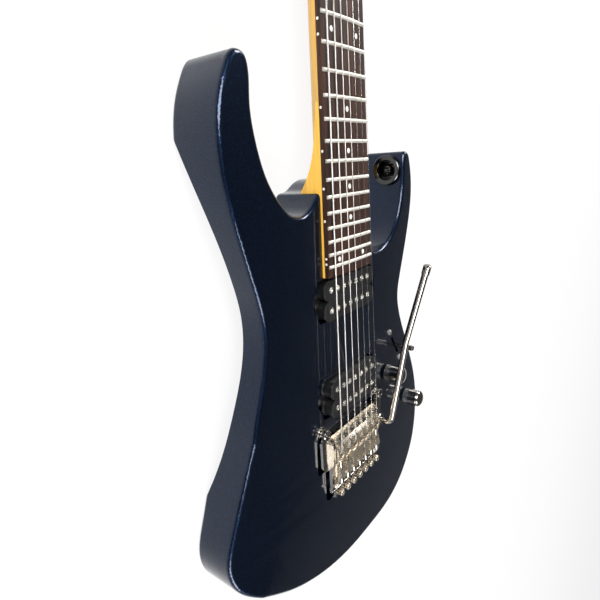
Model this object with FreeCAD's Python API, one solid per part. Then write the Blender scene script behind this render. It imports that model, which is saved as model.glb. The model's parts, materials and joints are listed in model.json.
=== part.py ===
# Seven-string electric guitar with a locking tremolo, lying on its back. Millimetres.
# +Z points out of the face, +Y to the headstock, +X to the treble side.
# The origin is on the back face of the body, on the centre line, under the saddle line.

import FreeCAD
import Part
import math
import os

V = FreeCAD.Vector
UP = V(0, 0, 1)
ALONG_X = V(1, 0, 0)
ALONG_Y = V(0, 1, 0)

# ---------------------------------------------------------------- driving dimensions

REST_Y = 140.0             # the frame's origin: on the back, this far up from the saddles

STRINGS = 7
FRETS = 24
SCALE = 648.0
FACE = 44.0                # thickness of the body: the height of its face

CROWN_Z = 52.1             # fret-end plane above the back face, at the saddle line
NECK_FALL = 0.0065         # how far the neck falls back, per millimetre of length
BOARD_RADIUS = 400.0
BOARD_END_Y = 153.5
BOARD_TOP = 0.12           # middle of the board's top, above the fret-end plane
BOARD_UNDER = -4.9         # underside of the board
WIDTH_AT_NUT = 47.0
WIDTH_AT_LAST_FRET = 65.5
HEEL_UNDER = -25.0         # underside of the heel, below the fret-end plane
HEEL_END_Y = 221.0

PITCH_BRIDGE = 10.4
PITCH_NUT = 6.9
STRING_BRIDGE_Z = FACE + 11.4
STRING_NUT_Z = 2.25         # above the fret-end plane, at the nut
GAUGES = [1.50, 1.17, 0.91, 0.66, 0.43, 0.33, 0.25]

NECK_PICKUP_Y = 134.0
NECK_PICKUP_TOP = FACE + 4.2
BRIDGE_PICKUP_Y = 47.6
BRIDGE_PICKUP_TOP = FACE + 7.0
COIL_OFFSET = 8.6
POLE_PITCH = {"neck": 9.45, "bridge": 9.7}

PIVOT_Y = 17.0
PIVOT_Z = FACE + 3.0
STUD_X = 45.5
STUD_Y = PIVOT_Y + 3.3
PLATE_UNDER = FACE + 1.6
PLATE_TOP = FACE + 4.2
TUNER_ROW_Y = -43.5

ARM_X = 44.5
ARM_Y = -8.0

VOLUME = V(69.0, 32.5, 0)
TONE = V(111.0, -11.5, 0)
SWITCH = V(88.8, 55.6, 0)
SWITCH_ANGLE = -57.0       # direction of the selector's slot, from +X
SWITCH_PIVOT_Z = FACE - 15.0

NUT_LENGTH = 14.0
HEAD_Y = SCALE + NUT_LENGTH
HEAD_FACE = -6.0           # headstock face at the nut, below the fret-end plane
HEAD_FALL = 4.2            # degrees
HEAD_THICKNESS = 14.5
POST_FIRST_Y = 34.0
POST_PITCH = 24.0
POST_FIRST_X = -22.5
POST_LAST_X = 20.0
BUTTON_REACH = 29.0        # from the post's axis to the button's middle
WORM_DEPTH = 5.0           # worm shaft below the back of the headstock

# Body outline at the face, from the bass side of the neck round to the treble side.
OUTLINE = [
    (-33.5, 218.2), (-42, 210), (-52, 205), (-65, 206.5), (-79, 218.5), (-89, 234),
    (-96.5, 256), (-99.5, 281), (-98.6, 300), (-102, 308.6), (-109.5, 310.3),
    (-118.5, 301), (-127, 281), (-130.5, 256), (-128.5, 230), (-121.5, 200),
    (-111.5, 165), (-105.2, 138), (-106, 112), (-113, 87), (-121, 65), (-128.5, 38),
    (-137, 10), (-147.5, -19), (-153.8, -42), (-150, -61), (-139, -75), (-121, -88.5),
    (-98, -103), (-70, -116), (-38, -125.5), (0, -130.3), (38, -129.7), (70, -126.5),
    (97, -116.5), (119, -98.5), (134, -76), (141.3, -50), (142.5, -20), (137.5, 6),
    (128, 31), (113, 63), (101.5, 90), (98.4, 109), (103, 126), (113.5, 153),
    (122.5, 179), (128.2, 205), (127.6, 227), (124.6, 239.5), (119.8, 247.6),
    (113.0, 248.0), (109.9, 242), (108.9, 230), (106.8, 210.5), (101, 193),
    (91, 177.5), (77.5, 166.5), (63, 160.8), (51.5, 161), (43, 169.5), (37.5, 187),
    (29, 210), (15, 226.5), (0, 229.8), (-14, 226), (-25, 220.5),
]


# ---------------------------------------------------------------- small helpers

def box(x0, x1, y0, y1, z0, z1):
    return Part.makeBox(x1 - x0, y1 - y0, z1 - z0, V(x0, y0, z0))


def rod(start, end, radius):
    axis = end - start
    return Part.makeCylinder(radius, axis.Length, start, axis)


def post(x, y, z0, z1, radius):
    return Part.makeCylinder(radius, z1 - z0, V(x, y, z0), UP)


def turned(profile, base, axis=UP):
    """Solid of revolution: profile is (radius, height) pairs about the axis at base."""
    ring = [V(r, 0, h) for r, h in profile]
    ring.append(ring[0])
    solid = Part.Face(Part.makePolygon(ring)).revolve(V(0, 0, 0), UP, 360)
    solid.Placement = FreeCAD.Placement(base, FreeCAD.Rotation(UP, axis))
    return solid


def prism(points, z0, z1):
    ring = [V(x, y, z0) for x, y in points]
    ring.append(ring[0])
    return Part.Face(Part.makePolygon(ring)).extrude(V(0, 0, z1 - z0))


def side_prism(points, x0, x1):
    """Extrusion along X of a (y, z) outline."""
    ring = [V(x0, y, z) for y, z in points]
    ring.append(ring[0])
    return Part.Face(Part.makePolygon(ring)).extrude(V(x1 - x0, 0, 0))


def rounded_box(x0, x1, y0, y1, z0, z1, radius):
    """Box with its four upright edges rounded."""
    solid = box(x0, x1, y0, y1, z0, z1)
    upright = [e for e in solid.Edges if abs(e.BoundBox.ZLength - (z1 - z0)) < 1e-6]
    return solid.makeFillet(radius, upright)


def hexagon(x, y, z0, z1, flats):
    corner = flats / math.sqrt(3)
    turns = [math.radians(60 * k) for k in range(6)]
    return prism([(x + corner * math.cos(t), y + corner * math.sin(t)) for t in turns], z0, z1)


def join(solids):
    return solids[0].multiFuse(solids[1:]).removeSplitter()


def group(solids):
    return Part.makeCompound(solids)


def on_neck(shape):
    """From the neck's own frame (z = 0 at the fret-end plane) to the guitar's."""
    moved = shape.copy()
    moved.rotate(V(0, 0, 0), ALONG_X, -math.degrees(math.atan(NECK_FALL)))
    moved.translate(V(0, 0, CROWN_Z))
    return moved


def on_head(shape):
    """From the headstock's frame (z = 0 at its face, y = 0 at the nut) to the guitar's."""
    moved = shape.copy()
    moved.rotate(V(0, 0, 0), ALONG_X, -HEAD_FALL)
    moved.translate(V(0, HEAD_Y, HEAD_FACE))
    return on_neck(moved)


def half_width(y):
    """Half the fretboard's width at a distance from the saddle line."""
    last_fret_y = SCALE * 2 ** (-FRETS / 12)
    share = (y - last_fret_y) / (SCALE - last_fret_y)
    return (WIDTH_AT_LAST_FRET + (WIDTH_AT_NUT - WIDTH_AT_LAST_FRET) * share) / 2


def taper(y0, y1, z0, z1, side=0.0):
    """Prism as wide as the fretboard, grown by side on each edge."""
    near = half_width(y0) + side
    far = half_width(y1) + side
    return prism([(-near, y0), (near, y0), (far, y1), (-far, y1)], z0, z1)


def crown_drop(x):
    """How far the board's and the strings' arch falls away from the middle."""
    return BOARD_RADIUS - math.sqrt(BOARD_RADIUS ** 2 - x ** 2)


def string_x(i, pitch):
    return (i - (STRINGS - 1) / 2) * pitch


def socket_screw(base, axis, head_radius, head_height, shank_radius, shank_length):
    """Cap screw with a hexagon socket; base is under the head, axis points out of it."""
    screw = join([
        Part.makeCylinder(head_radius, head_height, V(0, 0, 0), UP),
        Part.makeCylinder(shank_radius, shank_length, V(0, 0, -shank_length), UP),
    ])
    screw = screw.cut(hexagon(0, 0, head_height * 0.35, head_height + 1, head_radius * 0.95))
    screw.Placement = FreeCAD.Placement(base, FreeCAD.Rotation(UP, axis))
    return screw


def dome_screw(base, axis, head_radius, head_height, shank_radius, shank_length):
    """Wood screw with a domed, cross-slotted head."""
    screw = turned([
        (0, -shank_length), (shank_radius, 1.5 - shank_length), (shank_radius, 0),
        (head_radius, 0), (head_radius * 0.85, head_height * 0.6),
        (head_radius * 0.5, head_height * 0.92), (0, head_height),
    ], V(0, 0, 0))
    reach = head_radius * 0.55
    slot = head_radius * 0.14
    floor = head_height * 0.35
    cross = join([
        box(-reach, reach, -slot, slot, floor, head_height + 1),
        box(-slot, slot, -reach, reach, floor, head_height + 1),
    ])
    screw = screw.cut(cross)
    screw.Placement = FreeCAD.Placement(base, FreeCAD.Rotation(UP, axis))
    return screw


# ---------------------------------------------------------------- body

RIM_ROUND = 3.5
POCKET_SIDE = 0.05
CONTROL_OUTLINE = [
    (54, 16), (57, 62), (70, 88), (86, 84), (103, 52), (116, 20), (127, -20), (122, -54),
    (100, -58), (90, -34), (72, -4),
]
CONTROL_CEILING = FACE - 7.0
COVER_THICKNESS = 1.6
COVER_LEDGE = 5.0
SPRING_BAY = (-40.0, 40.0, -16.0, 118.0)
SPRING_BAY_DEPTH = 19.0
PICKUP_FLOOR = FACE - 19.0
RECESS_FLOOR = FACE - 6.5
JACK_ANGLE = math.radians(-26)
JACK_OUT = V(math.cos(JACK_ANGLE), math.sin(JACK_ANGLE), 0)
JACK_POINT = V(135.0, -68.5, FACE / 2)
BOLTS = [(-18, 170), (18, 170), (-19, 201), (7, 198)]
TAIL = V(0, -130.6, FACE / 2)
LOCK = V(108.6, 231.5, 26.5)
LOCK_RADIUS = 14.5
LOCK_DEPTH = 10.0
LOCK_OUT = V(-1, 0, 0)


def outline_solid():
    curve = Part.BSplineCurve()
    curve.interpolate([V(x, y, 0) for x, y in OUTLINE], PeriodicFlag=True)
    return Part.Face(Part.Wire(curve.toShape())).extrude(V(0, 0, FACE))


def drum(start_x, start_z, slope, radius, centre_y, side):
    """Drum that scoops the body: side is -1 from the back, +1 from the face."""
    tilt = math.atan(slope)
    outward = V(-math.cos(tilt), 0, -side * math.sin(tilt))
    lift = V(-side * math.sin(tilt), 0, math.cos(tilt)) * side
    foot = V(start_x, centre_y, start_z) + lift * radius - outward * 40
    cylinder = Part.makeCylinder(radius, 160, foot, outward)
    cylinder.rotate(foot, outward, 90)
    return cylinder


def rim_edges(slab):
    """The long edges where the rim meets the face and the back."""
    walls = [f for f in slab.Faces if f.BoundBox.ZLength > FACE / 2]
    rim = max(walls, key=lambda f: f.Area)
    return [e for e in rim.Edges if e.BoundBox.ZLength < FACE / 2]


def cavity(points, z0, z1, radius):
    """Straight-walled cavity with rounded corners."""
    solid = prism(points, z0, z1)
    upright = [e for e in solid.Edges if abs(e.BoundBox.ZLength - (z1 - z0)) < 1e-6]
    return solid.makeFillet(radius, upright)


def widened(points, z0, z1, margin):
    ring = [V(x, y, z0) for x, y in points]
    ring.append(ring[0])
    return Part.Face(Part.makePolygon(ring).makeOffset2D(margin)).extrude(V(0, 0, z1 - z0))


def pickup_rout(y):
    main = rounded_box(-41.8, 41.8, y - 18.0, y + 18.0, PICKUP_FLOOR, FACE + 5, 5)
    ears = rounded_box(-47.5, 47.5, y - 6.8, y + 6.8, PICKUP_FLOOR, FACE + 5, 4)
    return main.fuse(ears)


def tremolo_rout():
    through = rounded_box(-39, 39, -14.5, PIVOT_Y + 2, -5, FACE + 5, 5)
    recess = rounded_box(-42.5, 42.5, -51, PIVOT_Y + 2, RECESS_FLOOR, FACE + 5, 4)
    wings = rounded_box(-53, 53, -19, 9, RECESS_FLOOR, FACE + 5, 4)
    return join([through, recess, wings])


def switch_direction():
    turn = math.radians(SWITCH_ANGLE)
    return V(math.cos(turn), math.sin(turn), 0)


def along_switch(shape):
    """From a frame with the selector's slot along X at the origin to its place."""
    moved = shape.copy()
    moved.rotate(V(0, 0, 0), UP, SWITCH_ANGLE)
    moved.translate(SWITCH)
    return moved


def make_body():
    slab = outline_solid().cut(drum(-98, FACE, 0.18, 450, -10, 1))
    slab = slab.makeFillet(RIM_ROUND, rim_edges(slab))
    slab = slab.cut(drum(-50, 0, 0.40, 300, 135, -1))
    x0, x1, y0, y1 = SPRING_BAY
    ledge = COVER_LEDGE
    tools = [
        on_neck(taper(BOARD_END_Y, HEEL_END_Y + 30, HEEL_UNDER, 20, POCKET_SIDE)),
        pickup_rout(NECK_PICKUP_Y),
        pickup_rout(BRIDGE_PICKUP_Y),
        tremolo_rout(),
        rounded_box(x0, x1, y0, y1, -5, SPRING_BAY_DEPTH, 6),
        rounded_box(x0 - ledge, x1 + ledge, y0 - ledge, y1 + ledge, -5, COVER_THICKNESS, 8),
        cavity(CONTROL_OUTLINE, -5, CONTROL_CEILING, 6),
        widened(CONTROL_OUTLINE, -5, COVER_THICKNESS, ledge),
        along_switch(rounded_box(-12.5, 12.5, -1.7, 1.7, FACE - 20, FACE + 5, 1.6)),
        rod(JACK_POINT + JACK_OUT * 30, JACK_POINT, 11.0),
        rod(JACK_POINT + JACK_OUT * 2, JACK_POINT - JACK_OUT * 30, 6.3),
        rod(TAIL + V(0, 28, 0), TAIL - V(0, 5, 0), 1.75),
        rod(V(-20, BRIDGE_PICKUP_Y, 30), V(-20, NECK_PICKUP_Y, 30), 3.0),
        rod(V(38, BRIDGE_PICKUP_Y, 30), V(62, 40, 30), 3.0),
        rod(LOCK + LOCK_OUT * 20, LOCK - LOCK_OUT * LOCK_DEPTH, LOCK_RADIUS - 3.0),
        rod(LOCK + LOCK_OUT * 20, LOCK - LOCK_OUT * 1.5, LOCK_RADIUS + 0.1),
        rod(LOCK, LOCK - LOCK_OUT * 18, 1.75),
    ]
    for knob in (VOLUME, TONE):
        tools.append(post(knob.x, knob.y, FACE - 20, FACE + 5, 4.85))
    for end in (-1, 1):
        screw = SWITCH + switch_direction() * (end * SWITCH_SCREW)
        tools.append(post(screw.x, screw.y, FACE - 20, FACE + 5, 1.7))
        tools.append(post(end * STUD_X, STUD_Y, FACE - 22, FACE + 5, 5.4))
    for x in CLAW_SCREWS:
        tools.append(rod(V(x, y1 - 5, SPRING_Z), V(x, y1 + 20, SPRING_Z), 1.95))
    for x, y in BOLTS:
        tools.append(post(x, y, -5, 40, 2.6))
        tools.append(post(x, y, -5, 4.0, 6.55))
    for x, y in PICKUP_SCREWS:
        tools.append(post(x, y, PICKUP_FLOOR - 5, PICKUP_FLOOR + 1, 1.25))
    for x, y in COVER_SCREWS:
        tools.append(post(x, y, -1, 9, 1.32))
    return slab.cut(tools)


# ---------------------------------------------------------------- neck and fretboard

SHAFT_DEPTH_NUT = 19.0
SHAFT_DEPTH_HEEL = 21.5
ROD_CHANNEL_Z = -10.5
ROD_RADIUS = 3.0
FRET_WIDTH = 2.8
FRET_HEIGHT = 1.25
DOT_RADIUS = 2.0
SIDE_DOT_RADIUS = 1.0
TRUSS_COVER_SCREWS = [(0, 23.4), (-6.5, 4.5), (6.5, 4.5)]
SINGLE_DOTS = [3, 5, 7, 9, 15, 17, 19, 21]
DOUBLE_DOTS = {12: 16.7, 24: 18.0}


def shaft_section(y):
    """C-shaped section of the neck below the fretboard."""
    half = half_width(y)
    share = (y - HEEL_END_Y) / (SCALE - HEEL_END_Y)
    depth = SHAFT_DEPTH_HEEL + (SHAFT_DEPTH_NUT - SHAFT_DEPTH_HEEL) * share
    curve = Part.BSplineCurve()
    curve.interpolate([
        V(-half, y, BOARD_UNDER),
        V(-half * 0.97, y, BOARD_UNDER - 3.0),
        V(-half * 0.78, y, BOARD_UNDER - (depth + BOARD_UNDER) * 0.68),
        V(0, y, -depth),
        V(half * 0.78, y, BOARD_UNDER - (depth + BOARD_UNDER) * 0.68),
        V(half * 0.97, y, BOARD_UNDER - 3.0),
        V(half, y, BOARD_UNDER),
    ])
    lid = Part.makeLine(V(half, y, BOARD_UNDER), V(-half, y, BOARD_UNDER))
    return Part.Wire([curve.toShape(), lid])


def heel_block():
    """Square heel with a hollow sweep up to the shaft, clipped to the board's taper."""
    start = BOARD_END_Y + 0.05
    sweep = Part.BSplineCurve()
    sweep.interpolate([V(-40, y, z) for y, z in [
        (HEEL_END_Y, HEEL_UNDER), (231, -18.8), (243, -13.9), (260, -10.3), (285, -7.5),
    ]])
    edges = [
        Part.makeLine(V(-40, start, BOARD_UNDER), V(-40, start, HEEL_UNDER)),
        Part.makeLine(V(-40, start, HEEL_UNDER), V(-40, HEEL_END_Y, HEEL_UNDER)),
        sweep.toShape(),
        Part.makeLine(V(-40, 285, -7.5), V(-40, 285, BOARD_UNDER)),
        Part.makeLine(V(-40, 285, BOARD_UNDER), V(-40, start, BOARD_UNDER)),
    ]
    block = Part.Face(Part.Wire(edges)).extrude(V(80, 0, 0))
    return block.common(taper(BOARD_END_Y, 300, -40, 0))


def head_outline():
    """Closed outline of the headstock in its own frame, y from the nut."""
    bass = [V(-24, -6, 0), V(-25, 4, 0), V(-33, 15, 0), V(-36.6, 27, 0)]
    treble = [V(33, 176, 0), V(31, 110, 0), V(30, 50, 0), V(28.8, 18, 0), V(24, -6, 0)]
    shoulder = Part.BSplineCurve()
    shoulder.interpolate(bass)
    flank = Part.BSplineCurve()
    flank.interpolate(treble)
    tip = Part.BSplineCurve()
    tip.interpolate([V(8.5, 186, 0), V(13, 197, 0), V(22, 205, 0), V(31, 201, 0), V(33, 176, 0)])
    return Part.Wire([
        shoulder.toShape(),
        Part.makeLine(V(-36.6, 27, 0), V(8.5, 186, 0)),
        tip.toShape(),
        flank.toShape(),
        Part.makeLine(V(24, -6, 0), V(-24, -6, 0)),
    ])


def post_places():
    places = []
    for i in range(STRINGS):
        share = i / (STRINGS - 1)
        x = POST_FIRST_X + (POST_LAST_X - POST_FIRST_X) * share
        places.append((x, POST_FIRST_Y + i * POST_PITCH))
    return places


def make_neck():
    shaft = Part.makeLoft([shaft_section(y) for y in (HEEL_END_Y - 8, 430, SCALE)], True)
    head = Part.Face(head_outline()).extrude(V(0, 0, -HEAD_THICKNESS))
    head.rotate(V(0, 0, 0), ALONG_X, -HEAD_FALL)
    head.translate(V(0, HEAD_Y, HEAD_FACE))
    shelf = prism([(-23.5, SCALE), (23.5, SCALE), (24, HEAD_Y), (-24, HEAD_Y)], -19, HEAD_FACE)
    throat = shaft_section(SCALE)
    blend = Part.Face(throat).extrude(V(0, NUT_LENGTH + 4, 0))
    blend = blend.common(box(-40, 40, SCALE, SCALE + 30, -40, HEAD_FACE))
    neck = join([shaft, heel_block(), shelf.common(blend), head])
    tools = [
        rod(V(0, 170, ROD_CHANNEL_Z), V(0, HEAD_Y + 5, ROD_CHANNEL_Z), ROD_RADIUS + 0.05),
        box(-3.8, 3.8, HEAD_Y + 2, HEAD_Y + 19, -14.4, 0),
        box(-30, 30, SCALE, HEAD_Y, HEAD_FACE, 5),
    ]
    for first, last, x in CLAMPS:
        tools.append(post(x, SCALE + NUT_LENGTH / 2, -40, 0, 1.9))
    neck = neck.cut(tools)
    holes = [post(x, y, -20, 1, 5.0) for x, y in post_places()]
    holes += [post(x, RETAINER_Y, -11, 1, 1.35) for x in RETAINER_SCREW_X]
    holes += [post(x, y, -6, 1, 1.05) for x, y in TRUSS_COVER_SCREWS]
    holes = [on_head(h) for h in holes]
    pilot = post(TUNER_EAR, 0, -HEAD_THICKNESS - 1, -HEAD_THICKNESS + 8, 1.15)
    holes += [tuner_place(pilot, i) for i in range(STRINGS)]
    holes += [post(x, y, 0, 40.2, 2.3) for x, y in BOLTS]
    return on_neck(neck).cut(holes)


def board_solid():
    arch = Part.makeCylinder(
        BOARD_RADIUS, 600, V(0, 100, BOARD_TOP - BOARD_RADIUS), ALONG_Y)
    return taper(BOARD_END_Y, SCALE, BOARD_UNDER, 5).common(arch)


def fret_y(n):
    return SCALE * 2 ** (-n / 12)


def dot_places():
    places = []
    for n in SINGLE_DOTS:
        places.append((0, (fret_y(n) + fret_y(n - 1)) / 2))
    for n, x in DOUBLE_DOTS.items():
        for side in (-1, 1):
            places.append((side * x, (fret_y(n) + fret_y(n - 1)) / 2))
    return places


def side_dot_places():
    places = [(fret_y(n) + fret_y(n - 1)) / 2 for n in SINGLE_DOTS]
    for n, apart in ((12, 5.0), (24, 2.2)):
        middle = (fret_y(n) + fret_y(n - 1)) / 2
        places += [middle - apart, middle + apart]
    return places


def markers():
    board = board_solid()
    dots = []
    for x, y in dot_places():
        dots.append(post(x, y, BOARD_TOP - 3.0, 5, DOT_RADIUS).common(board))
    for y in side_dot_places():
        edge = half_width(y)
        peg = rod(V(-edge - 1, y, -3.2), V(-edge + 2.0, y, -3.2), SIDE_DOT_RADIUS)
        dots.append(peg.common(board))
    return dots


def make_frets():
    """Crowns as rings about the board's arch axis, each as long as the board is wide."""
    frets = []
    middle = V(0, 0, BOARD_TOP - BOARD_RADIUS)
    for n in range(1, FRETS + 1):
        y = fret_y(n)
        half = half_width(y) - 0.7
        left = V(0, y - FRET_WIDTH / 2, BOARD_TOP)
        right = V(0, y + FRET_WIDTH / 2, BOARD_TOP)
        crown = Part.Arc(left, V(0, y, BOARD_TOP + FRET_HEIGHT), right).toShape()
        face = Part.Face(Part.Wire([crown, Part.makeLine(right, left)]))
        reach = math.degrees(math.asin(half / BOARD_RADIUS))
        face.rotate(middle, ALONG_Y, -reach)
        frets.append(on_neck(face.revolve(middle, ALONG_Y, 2 * reach)))
    return group(frets)


def make_truss_rod():
    steel = rod(V(0, 170, ROD_CHANNEL_Z), V(0, HEAD_Y + 4, ROD_CHANNEL_Z), ROD_RADIUS)
    nut = hexagon(0, 0, 0, 9, 6.2).cut(hexagon(0, 0, 4, 10, 4.0))
    nut.Placement = FreeCAD.Placement(
        V(0, HEAD_Y + 4, ROD_CHANNEL_Z), FreeCAD.Rotation(UP, ALONG_Y))
    return on_neck(steel.fuse(nut).removeSplitter())


def make_truss_cover():
    plate = prism([(-9, 1.5), (9, 1.5), (11, 10), (5, 26), (-5, 26), (-11, 10)], 0, 1.8)
    plate = plate.cut([post(x, y, -1, 3, 1.15) for x, y in TRUSS_COVER_SCREWS])
    return on_head(plate)


# ---------------------------------------------------------------- nut, strings, tuners

CLAMPS = [(0, 1, -17.25), (2, 4, -3.45), (5, 6, 17.25)]   # strings held, screw's x
TUNER_EAR = -9.2            # from a post to its housing's screw
RETAINER_Y = 17.0
RETAINER_Z = 7.6            # axis of the retainer bar above the headstock
RETAINER_SCREW_X = [-24.8, 24.8]
POST_RADIUS = 3.0
POST_WAIST = 2.3
WINDING_RADIUS = 3.3       # over the turns of string on a post
GEAR_RADIUS = 4.0
WORM_OFFSET = 6.2          # between the axes of a post and its worm
STRING_REST = 5.4          # height of a string on its post, above the headstock


def string_nut_point(i):
    x = string_x(i, PITCH_NUT)
    return V(x, SCALE, STRING_NUT_Z - crown_drop(x))


def string_saddle_point(i):
    x = string_x(i, PITCH_BRIDGE)
    return V(x, 0, STRING_BRIDGE_Z - crown_drop(x))


def make_nut_base():
    base = box(-24, 24, SCALE, HEAD_Y, HEAD_FACE, 2.0)
    arch = Part.makeCylinder(
        BOARD_RADIUS, 60, V(0, SCALE - 20, STRING_NUT_Z - 0.6 - BOARD_RADIUS), ALONG_Y)
    base = base.common(arch)
    tools = []
    for i in range(STRINGS):
        at = string_nut_point(i)
        tools.append(rod(at + V(0, -5, 0.11), at + V(0, 20, -0.43), GAUGES[i] / 2 + 0.08))
    for first, last, x in CLAMPS:
        tools.append(post(x, SCALE + NUT_LENGTH / 2, -10, 5, 1.55))
    return on_neck(base.cut(tools))


def make_nut_clamps():
    """Blocks that press the strings into the nut, with the screws that hold them."""
    blocks = []
    screws = []
    y = SCALE + NUT_LENGTH / 2
    for first, last, x in CLAMPS:
        x0 = string_x(first, PITCH_NUT) - 3.0
        x1 = string_x(last, PITCH_NUT) + 3.0
        held = range(first, last + 1)
        under = max(string_nut_point(i).z + GAUGES[i] / 2 for i in held) + 0.02
        block = rounded_box(x0, x1, y - 5.5, y + 5.5, under, under + 4.0, 1.2)
        blocks.append(on_neck(block.cut(post(x, y, -5, 20, 1.6))))
        screws.append(on_neck(socket_screw(V(x, y, under + 4.0), UP, 2.7, 2.6, 1.5, 9.0)))
    return group(blocks), screws


def make_retainer():
    """Bar that holds the strings down behind the nut, and its two screws."""
    bar = rod(V(-27.5, RETAINER_Y, RETAINER_Z), V(27.5, RETAINER_Y, RETAINER_Z), 2.6)
    feet = []
    holes = []
    screws = []
    for x in RETAINER_SCREW_X:
        feet.append(post(x, RETAINER_Y, 0, RETAINER_Z, 2.9))
        holes.append(post(x, RETAINER_Y, -1, 20, 1.4))
        top = V(x, RETAINER_Y, RETAINER_Z + 2.2)
        screws.append(on_head(dome_screw(top, UP, 2.3, 1.4, 1.3, 16)))
    seats = [post(x, RETAINER_Y, RETAINER_Z + 2.2, 20, 3.2) for x in RETAINER_SCREW_X]
    return on_head(join([bar] + feet).cut(holes + seats)), screws


def string_end_point(i):
    """Where a string meets the windings on its post, in the headstock's frame."""
    x, y = post_places()[i]
    clear = WINDING_RADIUS + GAUGES[i] / 2 + 0.35
    return V(x + clear, y + 1.0, STRING_REST)


def head_point(point):
    return on_head(Part.Vertex(point)).Point


def neck_point(point):
    return on_neck(Part.Vertex(point)).Point


def make_strings():
    """Each string in one piece, from its saddle's clamp to its tuner."""
    strings = []
    for i in range(STRINGS):
        radius = GAUGES[i] / 2
        saddle = string_saddle_point(i) + V(0, 0, radius)
        nut = string_nut_point(i)
        x = nut.x + (string_end_point(i).x - nut.x) * 0.3
        path = [
            V(saddle.x, CLAMP_Y + 1.5, saddle.z - 3.4),
            saddle,
            neck_point(nut),
            neck_point(nut + V(0, NUT_LENGTH, -0.3)),
            head_point(V(x, RETAINER_Y, RETAINER_Z - 2.65 - radius)),
            head_point(string_end_point(i)),
        ]
        line = Part.makePolygon(path)
        along = path[1] - path[0]
        ring = Part.Wire(Part.makeCircle(radius, path[0], along))
        mitred = 1
        strings.append(line.makePipeShell([ring], True, False, mitred))
    return group(strings)


def head_direction(degrees):
    turn = math.radians(degrees)
    return V(math.cos(turn), math.sin(turn), 0)


EDGE_DIRECTION = head_direction(74.2)
BUTTON_DIRECTION = head_direction(164.2)


def tuner_place(shape, i):
    """Puts a tuner piece, built at the origin with its button along +X, on its post."""
    x, y = post_places()[i]
    moved = shape.copy()
    moved.rotate(V(0, 0, 0), UP, 164.2)
    moved.translate(V(x, y, 0))
    return on_head(moved)


def make_tuner_post(i):
    gear_top = -HEAD_THICKNESS - WORM_DEPTH + 1.6
    solid = turned([
        (0, gear_top - 3.4), (GEAR_RADIUS, gear_top - 3.4), (GEAR_RADIUS, gear_top),
        (POST_RADIUS, gear_top), (POST_RADIUS, 3.2), (POST_WAIST, 3.8),
        (POST_WAIST, STRING_REST - 0.9), (WINDING_RADIUS, STRING_REST - 0.6),
        (WINDING_RADIUS, STRING_REST + 0.6), (POST_WAIST, STRING_REST + 0.9),
        (POST_WAIST, STRING_REST + 2.2), (POST_RADIUS, STRING_REST + 3.0),
        (POST_RADIUS, STRING_REST + 4.6), (POST_RADIUS - 0.6, STRING_REST + 5.2),
        (0, STRING_REST + 5.2),
    ], V(0, 0, 0))
    slot = box(-0.7, 0.7, -5, 5, STRING_REST + 3.4, STRING_REST + 9)
    return tuner_place(solid.cut(slot), i)


def make_tuner_bushing(i):
    flange = turned([
        (POST_RADIUS + 0.05, -5.0), (4.95, -5.0), (4.95, 0), (6.8, 0), (6.8, 1.0),
        (5.6, 2.4), (POST_RADIUS + 0.05, 2.4),
    ], V(0, 0, 0))
    return tuner_place(flange, i)


def make_tuner_housing(i):
    back = -HEAD_THICKNESS
    floor = back - 9.0
    shell = rounded_box(-7.0, 9.5, -6.5, 10.0, floor, back, 3.0)
    room = box(-5.6, 8.0, -5.2, 8.7, floor + 1.2, back + 1)
    spindle = rod(V(7, WORM_OFFSET, back - WORM_DEPTH), V(20, WORM_OFFSET, back - WORM_DEPTH), 2.05)
    ear = rounded_box(-12.0, -6.0, -3.4, 3.4, back - 2.0, back, 2.0)
    nose = rod(V(8, WORM_OFFSET, back - WORM_DEPTH), V(13.5, WORM_OFFSET, back - WORM_DEPTH), 3.4)
    solid = shell.fuse([ear, nose]).cut([room, spindle, post(TUNER_EAR, 0, back - 5, back + 1, 1.2)])
    return tuner_place(solid.removeSplitter(), i)


def make_tuner_screw(i):
    seat = V(TUNER_EAR, 0, -HEAD_THICKNESS - 2.0)
    screw = dome_screw(seat, V(0, 0, -1), 2.1, 1.3, 1.1, 9)
    return tuner_place(screw, i)


def make_tuner_button(i):
    axis_z = -HEAD_THICKNESS - WORM_DEPTH
    at = V(0, WORM_OFFSET, axis_z)
    shaft = rod(at + V(7.6, 0, 0), at + V(BUTTON_REACH - 3, 0, 0), 2.0)
    worm = rod(at + V(-4.8, 0, 0), at + V(7.6, 0, 0), 1.8)
    collar = rod(at + V(13.8, 0, 0), at + V(17, 0, 0), 3.2)
    grip = rounded_box(-5.0, 5.0, -7.2, 7.2, -3.6, 3.6, 3.4)
    ends = [e for e in grip.Edges if e.BoundBox.ZLength < 0.01]
    grip = grip.makeFillet(1.6, ends)
    grip.translate(at + V(BUTTON_REACH - 6.5, 0, 0))
    return tuner_place(join([shaft, worm, collar, grip]), i)


# ---------------------------------------------------------------- pickups

BOBBIN_HALF = 38.4
BOBBIN_HALF_WIDTH = 8.4
BOBBIN_HEIGHT = 11.0
POLE_RADIUS = 2.4


def bobbin(y, top, pitch):
    """One coil former: flanges above and below the wound, taped coil."""
    wide = BOBBIN_HALF_WIDTH
    upper = rounded_box(-BOBBIN_HALF, BOBBIN_HALF, y - wide, y + wide, top - 1.6, top, 7.4)
    lower = upper.copy()
    lower.translate(V(0, 0, 1.6 - BOBBIN_HEIGHT))
    inset = 0.9
    coil = rounded_box(
        inset - BOBBIN_HALF, BOBBIN_HALF - inset, y - wide + inset, y + wide - inset,
        top - BOBBIN_HEIGHT + 1.0, top - 1.0, 6.6)
    holes = [
        post(string_x(i, pitch), y, top - 30, top + 5, POLE_RADIUS + 0.02)
        for i in range(STRINGS)
    ]
    return join([upper, lower, coil]).cut(holes)


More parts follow.
